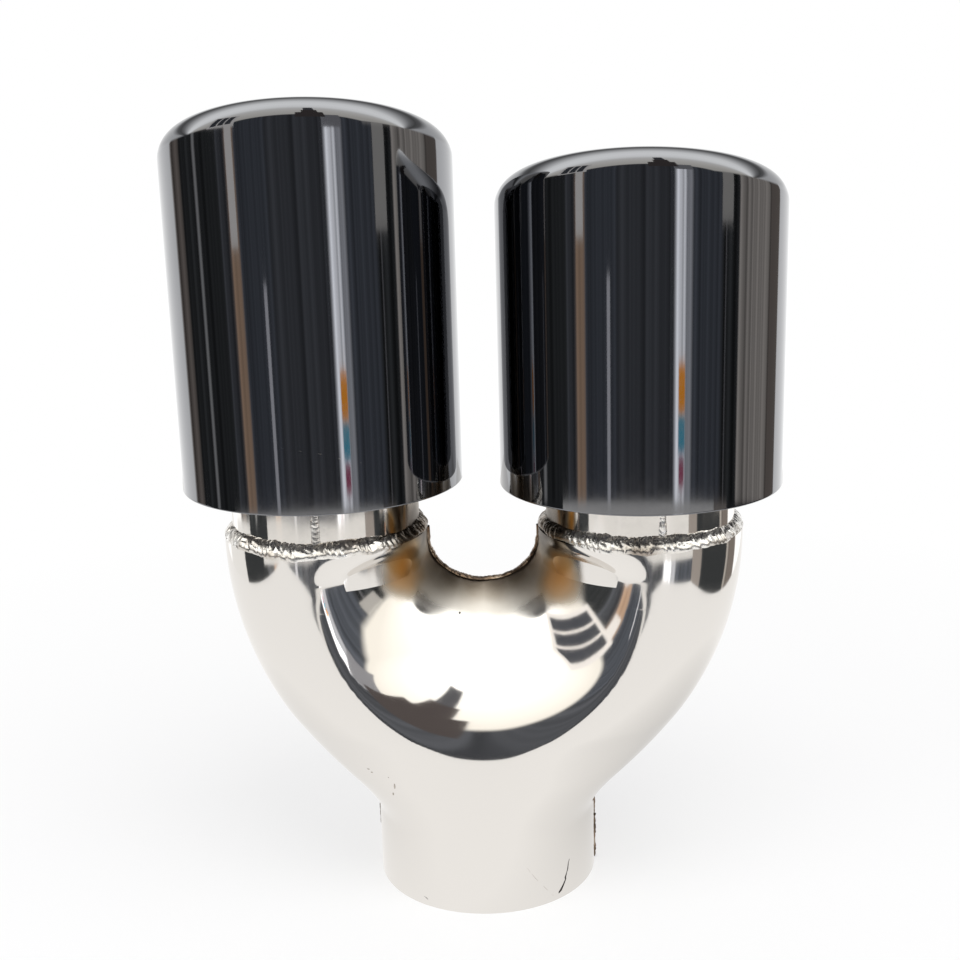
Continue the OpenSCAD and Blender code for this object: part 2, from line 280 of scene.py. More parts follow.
def pressing(name, front, node):
    points, faces, rims = [], [], []
    for e in (0.0, WALL):
        low, up = skin(e, front)
        start, width = len(points), len(low[0])
        points += [p for row in low for p in row]
        body = [[start + i * width + j for j in range(width)] for i in range(len(low))]
        tops = {}
        for s in (-1, 1):
            first = len(points)
            points += [p for row in up[s] for p in row]
            root = body[-1][:COLS + 1] if s < 0 else body[-1][COLS:]
            tops[s] = [root] + [[first + i * (COLS + 1) + j for j in range(COLS + 1)]
                                for i in range(len(up[s]))]
        for rows in (body, tops[-1], tops[1]):
            for a, b in zip(rows, rows[1:]):
                for j in range(len(a) - 1):
                    quad = (a[j], a[j + 1], b[j + 1], b[j])
                    faces.append(quad if (e == 0) == (front < 0) else quad[::-1])
        rims.append(rim_of(body, tops))
    outer, inner = rims
    for i in range(len(outer)):
        k = (i + 1) % len(outer)
        quad = (outer[i], inner[i], inner[k], outer[k])
        faces.append(quad if front < 0 else quad[::-1])
    return add_piece(name, points, faces, node, 40)


pressing("collector_front_half", -1, "y_shell_front")
pressing("collector_rear_half", 1, "y_shell_rear")

# %% [markdown]
# Round pieces are turned: a closed outline of radius and height is swept round an axis, as a lathe
# would do it. The stub tubes and the end plates are plain rings of this kind.

# %% Turned pieces
def turned(name, outline, x, node, steps=160):
    angles = np.linspace(0, 2 * np.pi, steps, endpoint=False)
    points = [(x + r * math.cos(a), r * math.sin(a), z) for a in angles for r, z in outline]
    faces = [f[::-1] for f in grid_faces(steps, len(outline), True, True)]
    return add_piece(name, points, faces, node)


def ring_outline(r0, r1, z0, z1):
    return [(r0, z0), (r1, z0), (r1, z1), (r0, z1)]


for side, tip in TIPS.items():
    plate_z = tip["z0"] + PLATE_UP
    turned("stub_tube_" + side, ring_outline(STUB_R - STUB_WALL, STUB_R, STUB_Z0, STUB_Z1),
           tip["x"], "stub_" + side)
    turned("end_plate_" + side, ring_outline(STUB_R, TIP_R - TIP_WALL, plate_z, plate_z + PLATE_WALL),
           tip["x"], "tip_plate_" + side)

# %% [markdown]
# The tips are turned too, but every point of the rolled lip is measured from a slanting mouth plane,
# which gives the slash cut with an even roll. A cut through a finished tube would leave the roll
# uneven. The outline goes up the skin, over the lip, down inside, and back along the inner face.

# %% Outline of a tip
SKIN_IN, SKIN_GAP, LIP_TAIL = 0.04, 0.05, 5          # kept inside the solid's skin, and the lip's end
FROM_FOOT, FROM_MOUTH, ALONG_SKIN = 0, 1, 2          # what a height in the outline is measured from


def tip_outline():
    outer, wall = TIP_R - SKIN_IN, TIP_R - TIP_WALL + SKIN_GAP
    inside, m = SLEEVE_R + SKIN_GAP, TIP_R - LIP_R
    ri = TIP_R - LIP_R - SLEEVE_R - SKIN_GAP
    lip = [(m + (outer - m) * math.cos(s), FROM_MOUTH, -LIP_R + LIP_R * math.sin(s))
           for s in np.radians(np.linspace(0, 90, 19))]
    roll = [(m - ri * math.sin(s), FROM_MOUTH, -ri + ri * math.cos(s))
            for s in np.radians(np.linspace(8, 90, 12))]
    back = [(inside, FROM_MOUTH, -ri - LIP_TAIL), (inside + TIP_WALL, FROM_MOUTH, -ri - LIP_TAIL)]
    roll_in = [(m - (ri - TIP_WALL) * math.sin(s), FROM_MOUTH, -ri + (ri - TIP_WALL) * math.cos(s))
               for s in np.radians(np.linspace(90, 10, 6))]
    lip_in = [(m + (wall - m) * math.cos(s), FROM_MOUTH, -LIP_R + (LIP_R - TIP_WALL) * math.sin(s))
              for s in np.radians(np.linspace(90, 0, 8))]
    foot = [(wall, FROM_FOOT, 0.9), (wall - 0.8, FROM_FOOT, 0.9), (wall - 0.8, FROM_FOOT, 0.25),
            (wall - 0.5, FROM_FOOT, 0.0), (outer - 0.35, FROM_FOOT, 0.0), (outer - 0.1, FROM_FOOT, 0.1),
            (outer, FROM_FOOT, 0.35)]
    straight = [(outer, FROM_FOOT, 0.6), (outer, FROM_FOOT, 1.2), (outer, ALONG_SKIN, 0.1),
                (outer, ALONG_SKIN, 0.5), (outer, ALONG_SKIN, 0.97)]
    return straight + lip + roll + back + roll_in + lip_in + foot


print("points in the tip's outline:", len(tip_outline()))


# %% [markdown]
# Each point of that outline is carried round the tip. Its height comes from the foot, from the
# slanting mouth, or from a share of the straight skin between the two. The mouths are turned a
# few degrees, as the tips in the photograph are.

# %% The tips' skins
def mouth_z(tip, r, a):
    return tip["z1"] - math.tan(SLASH) * (r * math.sin(a) + TIP_R)


def tip_skin(side, steps=220):
    tip, outline, points = TIPS[side], tip_outline(), []
    for a in np.linspace(0, 2 * np.pi, steps, endpoint=False):
        for r, kind, h in outline:
            foot, top = tip["z0"], mouth_z(tip, r, a)
            z = {FROM_FOOT: foot + h, FROM_MOUTH: top + h,
                 ALONG_SKIN: foot + h * (top - LIP_R - foot)}[kind]
            points.append((tip["x"] + r * math.cos(a + tip["turn"]), r * math.sin(a + tip["turn"]), z))
    faces = [f[::-1] for f in grid_faces(steps, len(outline), True, True)]
    return add_piece("tip_skin_" + side, points, faces, "tip_outer_" + side, 50)


for side in TIPS:
    tip_skin(side)

# %% [markdown]
# Inside each tip is a dark sleeve, cut at the same slant, on which the lip's end rests. It is seen
# only from above, so four points across its wall are enough.

# %% The tips' sleeves
def sleeve(side, steps=160):
    tip, points = TIPS[side], []
    for a in np.linspace(0, 2 * np.pi, steps, endpoint=False):
        for r, at_top in ((STUB_R, True), (SLEEVE_R, True), (SLEEVE_R, False), (STUB_R, False)):
            z = mouth_z(tip, r, a) - SLEEVE_DROP if at_top else tip["z0"] + SLEEVE_FOOT
            points.append((tip["x"] + r * math.cos(a + tip["turn"]), r * math.sin(a + tip["turn"]), z))
    return add_piece("tip_sleeve_" + side, points, grid_faces(steps, 4, True, True),
                     "tip_inner_" + side)


for side in TIPS:
    sleeve(side)

# %% [markdown]
# The welds were laid by hand, puddle after puddle, so each bead is a row of overlapping crescents
# of uneven size. A bump map would leave the bead's outline smooth, so a real bead is swept along
# its path with a round top whose height follows curved ripples. Seeded noise makes it uneven.

# %% Helper: a rippled bead along a path
BEAD_POINTS, BEAD_ROOT, BEAD_LIFT = 13, 0.25, 0.02   # points over the top, bedding and lift in mm
WOBBLE_STEPS, SWELL_STEPS = 9, 16                    # points between two changes of height or width
UNEVEN_WIDTH, UNEVEN_HEIGHT, UNEVEN_PITCH = 0.22, 0.3, 0.9
CRESCENT, ROUNDNESS = 0.6, 0.6                       # how far a ripple bends, and how blunt it is
VALLEY, RIPPLE, NARROWING, FINE = 0.72, 0.34, 0.08, 0.12     # shares of the bead's size
FINE_ALONG, FINE_ACROSS = 2.7, 1.3                   # small bumps for each ripple and half width


def wander(n, scale, seed):
    rng = np.random.default_rng(seed)
    knots = rng.uniform(-1, 1, max(4, int(n / scale)))
    return np.interp(np.linspace(0, len(knots) - 1, n), range(len(knots)), knots)


def bead(name, path, normals, ups, width, height, pitch, node, seed, closed=False, rough=0.5):
    n = len(path)
    normals, ups = np.broadcast_to(normals, (n, 3)), np.broadcast_to(ups, (n, 3))
    width, height = np.broadcast_to(width, n), np.broadcast_to(height, n)
    steps = np.concatenate([[0], np.cumsum(np.linalg.norm(np.diff(path, axis=0), axis=1))])
    wobble, swell = wander(n, WOBBLE_STEPS, seed), wander(n, SWELL_STEPS, seed + 1)
    points = []
    for i in range(n):
        w = width[i] * (1 + UNEVEN_WIDTH * rough * swell[i])
        h = height[i] * (1 + UNEVEN_HEIGHT * rough * wobble[i])
        for v in np.linspace(-1, 1, BEAD_POINTS):
            phase = steps[i] / pitch + CRESCENT * (1 - v * v) + UNEVEN_PITCH * swell[i]
            ripple = abs(math.sin(math.pi * phase)) ** ROUNDNESS
            bumps = math.sin(2 * math.pi * (FINE_ALONG * phase + FINE_ACROSS * v + wobble[i]))
            fine = FINE * rough * bumps
            top = math.sqrt(max(1 - v * v, 0)) * h * (VALLEY + RIPPLE * ripple + fine) + BEAD_LIFT
            points.append(path[i] + normals[i] * top + ups[i] * v * w * (0.94 + NARROWING * ripple))
        points.append(path[i] - normals[i] * BEAD_ROOT)
    faces = grid_faces(n, BEAD_POINTS + 1, closed, True)
    return add_piece(name, points, faces, node, 60)


def ring_of(n):
    a = np.linspace(0, 2 * np.pi, n, endpoint=False)
    return a, np.stack([np.cos(a), np.sin(a), np.zeros(n)], 1)


print("uneven sizes, for example:", np.round(wander(5, 1, 7), 2))

# %% [markdown]
# A collar bead fills the corner between a stub tube and its outlet. Its ripples are 3.4 mm apart,
# as counted along the right-hand weld in the photograph. It is narrower on the side towards the
# other tip, where the torch had little room, and flattened on the far side.

# %% Collar beads
COLLAR_OUT, COLLAR_UP, COLLAR_PITCH, COLLAR_STEPS = 1.1, 1.8, 3.4, 720
COLLAR_WIDTH, COLLAR_HEIGHT = 3.5, 1.9               # half of the width, and the full height
COLLAR_DRIFT, DRIFT_STEPS = 0.6, 60                  # the hand wanders up and down on its way
COLLAR_SIN, COLLAR_COS = 0.66, 0.75                  # the bead faces outward and up


def collar_bead(side, seed):
    tip = TIPS[side]
    a, out = ring_of(COLLAR_STEPS)
    upward = np.array([0.0, 0.0, 1.0])
    tilt = out * COLLAR_COS + upward * COLLAR_SIN
    up = upward * COLLAR_COS - out * COLLAR_SIN
    path = np.array([tip["x"], 0, 0]) + out * (STUB_R + COLLAR_OUT)
    path[:, 2] = OUTLET_Z + COLLAR_UP + COLLAR_DRIFT * wander(COLLAR_STEPS, DRIFT_STEPS, seed + 5)
    inward = np.cos(a) * (-1 if side == "right" else 1)
    thin = np.clip((inward - 0.45) / 0.4, 0, 1)
    flat = np.clip((-inward - 0.55) / 0.35, 0, 1)
    width = COLLAR_WIDTH * (1 - 0.25 * thin - 0.25 * flat)
    height = COLLAR_HEIGHT * (1 - 0.40 * thin - 0.45 * flat)
    return bead("collar_bead_" + side, path, tilt, up, width, height, COLLAR_PITCH,
                "collar_weld_" + side, seed, True, rough=0.8)


collar_bead("left", 11)
collar_bead("right", 23)

# %% [markdown]
# The butt weld of the pressings was ground flush on the outer curves, where only a thin dark line
# is left. It stands proud and lumpy on the right of the neck. Both are the same bead, swept along
# the outline with its top to the side, and lumps raise it where the grinder stopped.

# %% Seam welds
ACROSS_JOINT = (0.0, 1.0, 0.0)
SEAM_IN, SEAM_TOP = 0.12, OUTLET_Z - 0.4


def outline_path(z0, z1, n, sign):
    z = np.linspace(z0, z1, n)
    p = np.array([[lean(h) + sign * (outline_out(h, 0) - SEAM_IN), 0.0, h] for h in z])
    d = np.gradient(p, axis=0)
    d /= np.linalg.norm(d, axis=1)[:, None]
    return p, np.stack([sign * d[:, 2], np.zeros(n), -sign * d[:, 0]], 1)


def seam(name, z0, z1, sign, node, width, height, pitch, seed, n, proud=(0, 0), lump=1.3):
    p, out = outline_path(z0, z1, n, sign)
    z = p[:, 2]
    lumps = 1 + lump * ease((z - proud[0]) / 3) * ease((proud[1] - z) / 6)
    return bead(name, p, out, ACROSS_JOINT, width * lumps, height * lumps, pitch, node, seed, rough=0.8)


seam("seam_line_left", 0.0, SEAM_TOP, -1, "seam_weld_left", 0.50, 0.16, 5.0, 31, 420, (13, 27), 3.2)
seam("seam_line_right", NECK_Z, SEAM_TOP, 1, "seam_weld_right", 0.50, 0.22, 4.0, 33, 400, (16, 46))
seam("neck_bead_right", 0.3, NECK_Z, 1, "neck_weld_bead", 1.15, 0.70, 2.6, 35, 120)

# %% [markdown]
# All along the crotch the butt weld was left as it froze: nobody can reach in there with a grinder.
# Its path is the half ellipse of the crotch, with a short straight end on each side.

# %% Crotch weld
CROTCH_STEPS = 260


def crotch_line(angles):
    return [(SHIFT + CROTCH_A * math.sin(a), 0.0, COLLAR_Z - (COLLAR_Z - CROTCH_Z) * math.cos(a))
            for a in np.radians(angles)]


ends = [(SHIFT - CROTCH_A, 0, OUTLET_Z)], [(SHIFT + CROTCH_A, 0, OUTLET_Z)]
crotch_path = np.array(ends[0] + crotch_line(np.linspace(-90, 90, CROTCH_STEPS)) + ends[1])
slope = np.gradient(crotch_path, axis=0)
slope /= np.linalg.norm(slope, axis=1)[:, None]
crotch_out = np.stack([-slope[:, 2], np.zeros(len(slope)), slope[:, 0]], 1)
bead("crotch_bead", crotch_path, crotch_out, ACROSS_JOINT, 1.5, 0.75, 2.4, "crotch_weld", 41, rough=1.0)

# %% [markdown]
# Each stub tube was rolled from flat sheet, so it has a lengthwise weld, turned to the front here.
# The end plates are welded to the stub tubes from below, and that bead is a ring again.

# %% Welds of the stub tubes and end plates
PLATE_BEAD_OUT, PLATE_TILT, PLATE_STEPS = 0.7, 0.7, 360


def stub_seam(side, azimuth, seed, n=90):
    tip, a = TIPS[side], math.radians(azimuth)
    out = np.array([math.cos(a), math.sin(a), 0.0])
    p = np.tile(np.array([tip["x"], 0, 0]) + out * (STUB_R - 0.08), (n, 1))
    p[:, 2] = np.linspace(OUTLET_Z + 2.5, tip["z0"] + 2.8, n)
    across = (-math.sin(a), math.cos(a), 0.0)
    return bead("stub_seam_" + side, p, out, across, 1.5, 0.42, 1.7, "stub_seam_weld_" + side, seed,
                rough=1.3)


def plate_bead(side, seed):
    tip = TIPS[side]
    a, out = ring_of(PLATE_STEPS)
    path = out * (STUB_R + PLATE_BEAD_OUT) + np.array([tip["x"], 0, tip["z0"] + PLATE_UP - PLATE_BEAD_OUT])
    down = np.array([0, 0, -PLATE_TILT])
    return bead("plate_bead_" + side, path, out * PLATE_TILT + down, -out * PLATE_TILT + down, 1.7, 1.0,
                3.0, "plate_weld_" + side, seed, True)


stub_seam("left", -88, 51)
stub_seam("right", -81, 53)
plate_bead("left", 61)
plate_bead("right", 61)

# %% [markdown]
# Small damage stays: an open crack at the right of the inlet's edge, a faint scratch beside it, a
# mark at the left of that edge, a scratch and a nick in the tips' plating, and a pinhole in the
# right stub tube. Cutting the mesh would spoil the mirror around them, so each is a sliver laid on
# the round surface, given by points (place, height) and its width at each point.

# %% Slivers on round surfaces
def sliver(name, line, widths, radius, x0=0.0, lift=0.03):
    points = []
    for (degrees, z), w in zip(line, widths):
        for s in (-1, 1):
            a, r = math.radians(degrees) + s * w / 2 / radius, radius + lift
            points.append((x0 + r * math.sin(a), -r * math.cos(a), z))
    faces = [(2 * i, 2 * i + 1, 2 * i + 3, 2 * i + 2) for i in range(len(line) - 1)]
    return add_piece(name, points, faces, None)


def neck_mark(name, line, widths):
    on_neck = [(math.degrees(math.asin(x / INLET_R)), z) for x, z in line]
    return sliver(name, on_neck, widths, INLET_R)


neck_mark("inlet_crack",
          [(31.0, 14.0), (30.6, 12.6), (30.3, 10.2), (29.9, 9.0), (29.4, 7.4), (29.5, 6.6),
           (28.4, 4.4), (27.4, 2.8), (26.9, 2.2)],
          [0.15, 0.35, 0.5, 0.35, 0.8, 0.6, 1.0, 1.5, 0.3])
neck_mark("inlet_scratch", [(15.5, 16.5), (18.5, 11.5), (22.0, 6.5), (25.0, 2.0)],
          [0.05, 0.16, 0.16, 0.05])
neck_mark("inlet_mark", [(-22.6, 3.2), (-22.0, 3.0), (-21.2, 2.4)], [0.2, 0.5, 0.2])
sliver("tip_scratch", [(-6.5, 177.0), (0.5, 175.9), (7.8, 174.7), (15.1, 172.6), (23.3, 170.5)],
       [0.05, 0.18, 0.22, 0.15, 0.05], TIP_R - SKIN_IN, TIPS["left"]["x"])
sliver("stub_pinhole", [(-42.6, 145.1), (-42.3, 145.1), (-41.9, 145.1)], [0.3, 0.9, 0.3], STUB_R,
       TIPS["right"]["x"])
sliver("foot_nick", [(47.6, 152.2), (49.2, 152.4), (52.6, 152.4), (54.0, 152.2)],
       [0.9, 1.4, 1.4, 0.9], TIP_R - SKIN_IN, TIPS["right"]["x"])

# %% [markdown]
# The pressing itself has a small pit in the web and five press marks at the left, just above the
# neck, where the die pinched the sheet. Each is a small fan of triangles on the pressed surface.

# %% Marks on the pressed surface
MARK_POINTS, MARK_LIFT = 12, 0.04
PRESS_MARKS = [(-41.4, 52.8, 0.5, 0.5), (-40.2, 51.6, 0.4, 0.6), (-33.9, 50.9, 0.2, 0.8),
               (-31.8, 47.4, 0.3, 4.0), (-32.6, 43.6, 0.3, 2.2)]     # x, z, radius, stretch upward


def web_point(x, z, lift):
    w, xr, ax = outline_out(z, 0), crest(z), abs(x - lean(z))
    side = math.sqrt(max(1 - (max(ax - xr, 0) / (w - xr)) ** 2, 0))
    return (x, -float(full_depth(z, 0) * web(np.array([ax]), z, 0)[0]) * side - lift, z)


def web_mark(name, x, z, r, stretch=1.0):
    ring = [web_point(x + r * math.cos(a), z + r * stretch * math.sin(a), MARK_LIFT)
            for a in np.linspace(0, 2 * np.pi, MARK_POINTS, endpoint=False)]
    fan = [(0, 1 + (k + 1) % MARK_POINTS, 1 + k) for k in range(MARK_POINTS)]
    return add_piece(name, [web_point(x, z, MARK_LIFT + 0.01)] + ring, fan, None)


web_mark("web_pit", -7.5, 105.6, 0.35)
for number, (x, z, r, stretch) in enumerate(PRESS_MARKS):
    web_mark("press_mark_" + str(number), x, z, r, stretch)

# %% [markdown]
# The materials start from the real finishes. Colours are written as sRGB hex values and turned to
# linear light by one function. One more function adds a node: its inputs are numbers, colours or
# the outputs of other nodes, its settings go by name, and stops fill the node's colour ramp.

# %% Helpers for the materials
def linear(hex_code):
    rgb = [int(hex_code[i:i + 2], 16) / 255 for i in (1, 3, 5)]
    return tuple(c / 12.92 if c <= 0.04045 else ((c + 0.055) / 1.055) ** 2.4 for c in rgb) + (1.0,)


def add_node(tree, kind, inputs=None, stops=(), **settings):
    node = tree.nodes.new(kind)
    for key, value in settings.items():
        setattr(node, key, value)
    for key, value in (inputs or {}).items():
        if isinstance(value, bpy.types.NodeSocket):
            tree.links.new(value, node.inputs[key])
        else:
            node.inputs[key].default_value = value
    for number, (at, colour) in enumerate(stops):
        elements = node.color_ramp.elements
        if number == 0:
            elements.remove(elements[1])
        element = elements.new(at) if number else elements[0]
        element.position = at
        element.color = tuple(colour)[:3] + (1.0,)
    return node


def new_material(name):
    material = bpy.data.materials.new(name)
    material.use_nodes = True
    tree = material.node_tree
    return material, tree, tree.nodes["Principled BSDF"]


def paint(material, *names):
    for o in bpy.data.objects:
        if o.type == "MESH" and any(o.name.startswith(n) for n in names):
            o.data.materials.clear()
            o.data.materials.append(material)
            print(material.name, "on", o.name)


print("linear value of #808080:", round(linear("#808080")[0], 3))

# %% [markdown]
# Welding heat leaves oxide colours on stainless, and they follow the distance from the hot spots.
# Painting them as a picture would need a layout of the surface. A field of distances does without:
# the distance to the nearest of a few places, made ragged by a noise and divided by the reach.

# %% Helper: how far a point is from the heat
WANDER_SCALE = 90.0                                  # one wander every 11 mm: 1 / 0.011 m


def nearest(tree, coords, ragged, spots_mm, reach_mm, jitter_mm):
    best = None
    for spot in spots_mm:
        gap = add_node(tree, "ShaderNodeVectorMath", {0: coords, 1: tuple(c / 1000 for c in spot)},
                       operation="DISTANCE").outputs["Value"]
        best = gap if best is None else add_node(tree, "ShaderNodeMath", {0: best, 1: gap},
                                                 operation="MINIMUM").outputs[0]
    shaken = add_node(tree, "ShaderNodeMath",
                      {0: ragged.outputs["Fac"], 1: jitter_mm / 1000, 2: -jitter_mm / 2000},
                      operation="MULTIPLY_ADD").outputs[0]
    total = add_node(tree, "ShaderNodeMath", {0: best, 1: shaken}, operation="ADD").outputs[0]
    return add_node(tree, "ShaderNodeMath", {0: total, 1: reach_mm / 1000},
                    operation="DIVIDE").outputs[0]


CROTCH_LINE = crotch_line([-90, -60, -35, -12, 12, 35, 60, 90])
HORN_SPOTS = [(SHIFT + x, y, 137.0) for x in (-24, 24) for y in (-14, 14)]
AMBER_SPOTS = [(x, y, z) for x, z in ((-26, 125), (28, 121)) for y in (-18, 18)]
print("heat places:", len(CROTCH_LINE) + len(HORN_SPOTS) + len(AMBER_SPOTS))

# %% [markdown]
# Polished stainless steel: cold-rolled sheet buffed to a mirror after pressing. The eye gets sharp
# reflections with a slight cream cast. Grey-brown oxide lies along the crotch and darkest at its two
# horns beside the collar beads, and an amber spot glows beside each horn on the branch's flank.

# %% Polished stainless steel: heat colours
steel, tree, shader = new_material("polished_stainless_heat_tinted")
shader.inputs["Metallic"].default_value = 1.0
coords = add_node(tree, "ShaderNodeTexCoord").outputs["Object"]
ragged = add_node(tree, "ShaderNodeTexNoise", {"Scale": WANDER_SCALE, "Detail": 3.0, "Vector": coords})
STEEL, WHITE = linear("#E7E4E0"), (1.0, 1.0, 1.0, 1.0)
from_crotch = nearest(tree, coords, ragged, CROTCH_LINE, 24, 5.0)
from_horn = nearest(tree, coords, ragged, HORN_SPOTS, 19, 6.0)
from_amber = nearest(tree, coords, ragged, AMBER_SPOTS, 15, 5.0)
oxide = add_node(tree, "ShaderNodeValToRGB", {0: from_crotch},
                 [(0.0, linear("#6B6056")), (0.18, linear("#857A6C")), (0.34, linear("#ADA498")),
                  (0.52, linear("#C9C3BA")), (0.80, linear("#DCD8D1")), (1.0, STEEL)])
horn = add_node(tree, "ShaderNodeValToRGB", {0: from_horn},
                [(0.0, linear("#4E4740")), (0.5, linear("#6A6258")), (0.78, linear("#A0988D")), (1.0, WHITE)])
grey = add_node(tree, "ShaderNodeMix",
                {"Factor": 1.0, 6: oxide.outputs["Color"], 7: horn.outputs["Color"]},
                data_type="RGBA", blend_type="DARKEN")
amber = add_node(tree, "ShaderNodeValToRGB", {0: from_amber},
                 [(0.0, linear("#E3A24C")), (0.4, linear("#D6A664")), (0.7, linear("#BFA986")), (1.0, STEEL)])
cover = add_node(tree, "ShaderNodeValToRGB", {0: from_amber},
                 [(0.0, (0.92, 0.92, 0.92)), (0.45, (0.75, 0.75, 0.75)), (1.0, (0, 0, 0))])
cover.color_ramp.interpolation = "EASE"
tint = add_node(tree, "ShaderNodeMix",
                {"Factor": cover.outputs["Color"], 6: grey.outputs[2], 7: amber.outputs["Color"]},
                data_type="RGBA")
tree.links.new(tint.outputs[2], shader.inputs["Base Color"])
print("nodes so far:", len(tree.nodes))

# %% [markdown]
# The buffing wheel leaves a faint haze that varies every few millimetres, scorched places are
# duller, and the press leaves shallow waves a few centimetres long, which bend the reflections.

# %% Polished stainless steel: haze and waves
HAZE_SCALE, WAVE_SCALE = 260.0, 28.0                 # haze every 4 mm, waves every 36 mm
BUFFED = {"To Min": 0.035, "To Max": 0.10}           # roughness of buffed steel
SCORCH_ROUGHNESS = 0.40                              # added where the heat dulled it
haze = add_node(tree, "ShaderNodeTexNoise",
                {"Scale": HAZE_SCALE, "Detail": 5.0, "Roughness": 0.7, "Vector": coords})
buffed = add_node(tree, "ShaderNodeMapRange", {"Value": haze.outputs["Fac"], **BUFFED})
scorched = add_node(tree, "ShaderNodeValToRGB", {0: from_crotch},
                    [(0.0, (1, 1, 1)), (0.6, (0.8, 0.8, 0.8)), (0.8, (0.35, 0.35, 0.35)), (1.0, (0, 0, 0))])
straw = add_node(tree, "ShaderNodeValToRGB", {0: from_amber},
                 [(0.0, (1.0, 1.0, 1.0)), (0.5, (0.85, 0.85, 0.85)), (1.0, (0, 0, 0))])
for dulling in (scorched, straw):
    dulling.color_ramp.interpolation = "EASE"
dulled = add_node(tree, "ShaderNodeMath", {0: scorched.outputs["Color"], 1: straw.outputs["Color"]},
                  operation="MAXIMUM")
rough_sum = add_node(tree, "ShaderNodeMath",
                     {0: dulled.outputs[0], 1: SCORCH_ROUGHNESS, 2: buffed.outputs["Result"]},
                     operation="MULTIPLY_ADD")
tree.links.new(rough_sum.outputs[0], shader.inputs["Roughness"])
waves = add_node(tree, "ShaderNodeTexNoise", {"Scale": WAVE_SCALE, "Detail": 1.5, "Vector": coords})
bump = add_node(tree, "ShaderNodeBump",
                {"Strength": 0.06, "Distance": 0.004, "Height": waves.outputs["Fac"]})
tree.links.new(bump.outputs["Normal"], shader.inputs["Normal"])
paint(steel, "collector_front_half", "collector_rear_half", "stub_tube")

# %% [markdown]
# Black chrome: a thin dark chromium layer over polished stainless. It is as sharp as a mirror but
# returns only about a fifth of the light, almost without a cast of its own, and turns bright where
# it is seen edge on. A dark metal gives all of that, and its haze is finer than the steel's.

# %% Black chrome
PLATING_SCALE = 300.0                                # haze every 3.3 mm: 1 / 0.0033 m
black, tree, shader = new_material("black_chrome_plating")
shader.inputs["Metallic"].default_value = 1.0
shader.inputs["Base Color"].default_value = linear("#7E7F82")
coords = add_node(tree, "ShaderNodeTexCoord").outputs["Object"]
haze = add_node(tree, "ShaderNodeTexNoise", {"Scale": PLATING_SCALE, "Detail": 4.0, "Vector": coords})
buffed = add_node(tree, "ShaderNodeMapRange",
                  {"Value": haze.outputs["Fac"], "To Min": 0.03, "To Max": 0.065})
tree.links.new(buffed.outputs["Result"], shader.inputs["Roughness"])
paint(black, "tip_skin")

# %% [markdown]
# Weld metal: bare stainless filler as it froze. The eye gets bright ripple tops and patches of grey
# oxide between them. Beside the horns of the crotch the heat has burnt the beads brown.

# %% Weld metal
SPATTER_SCALE, PATCH_SCALE = 420.0, 60.0             # grains every 2.4 mm, patches every 17 mm
weld, tree, shader = new_material("stainless_weld_metal")
shader.inputs["Metallic"].default_value = 1.0
coords = add_node(tree, "ShaderNodeTexCoord").outputs["Object"]
spatter = add_node(tree, "ShaderNodeTexNoise", {"Scale": SPATTER_SCALE, "Detail": 4.0, "Vector": coords})
patches = add_node(tree, "ShaderNodeTexNoise", {"Scale": PATCH_SCALE, "Detail": 2.0, "Vector": coords})
oxide = add_node(tree, "ShaderNodeValToRGB", {0: patches.outputs["Fac"]},
                 [(0.3, linear("#A89E94")), (0.42, linear("#DAD5CE")), (0.55, linear("#F2F0EC"))])
ragged = add_node(tree, "ShaderNodeTexNoise", {"Scale": WANDER_SCALE, "Detail": 3.0, "Vector": coords})
from_horn = nearest(tree, coords, ragged, HORN_SPOTS, 17, 6.0)
burnt = add_node(tree, "ShaderNodeValToRGB", {0: from_horn},
                 [(0.0, linear("#5E544A")), (0.6, linear("#85796B")), (1.0, WHITE)])
sooty = add_node(tree, "ShaderNodeMix",
                 {"Factor": 1.0, 6: oxide.outputs["Color"], 7: burnt.outputs["Color"]},
                 data_type="RGBA", blend_type="MULTIPLY")
tree.links.new(sooty.outputs[2], shader.inputs["Base Color"])
frozen = add_node(tree, "ShaderNodeMapRange",
                  {"Value": spatter.outputs["Fac"], "To Min": 0.12, "To Max": 0.42})
tree.links.new(frozen.outputs["Result"], shader.inputs["Roughness"])
bump = add_node(tree, "ShaderNodeBump",
                {"Strength": 0.35, "Distance": 0.0006, "Height": spatter.outputs["Fac"]})
tree.links.new(bump.outputs["Normal"], shader.inputs["Normal"])
paint(weld, "collar_bead", "stub_seam", "plate_bead")

# %% [markdown]
# The butt weld got the most heat and was never cleaned, so it is darker and browner than the other
# beads. It shares their metal, but its oxide is mottled at a finer scale.

# %% Heat-darkened weld metal
MOTTLE_SCALE = 150.0                                 # mottles every 6.7 mm: 1 / 0.0067 m
scorched_weld, tree, shader = new_material("heat_darkened_weld_metal")
shader.inputs["Metallic"].default_value = 1.0
shader.inputs["Roughness"].default_value = 0.3
coords = add_node(tree, "ShaderNodeTexCoord").outputs["Object"]
mottles = add_node(tree, "ShaderNodeTexNoise", {"Scale": MOTTLE_SCALE, "Detail": 4.0, "Vector": coords})
oxide = add_node(tree, "ShaderNodeValToRGB", {0: mottles.outputs["Fac"]},
                 [(0.35, linear("#4A3E35")), (0.55, linear("#8A7663")), (0.7, linear("#B5A796"))])
tree.links.new(oxide.outputs["Color"], shader.inputs["Base Color"])
paint(scorched_weld, "crotch_bead", "seam_line", "neck_bead")
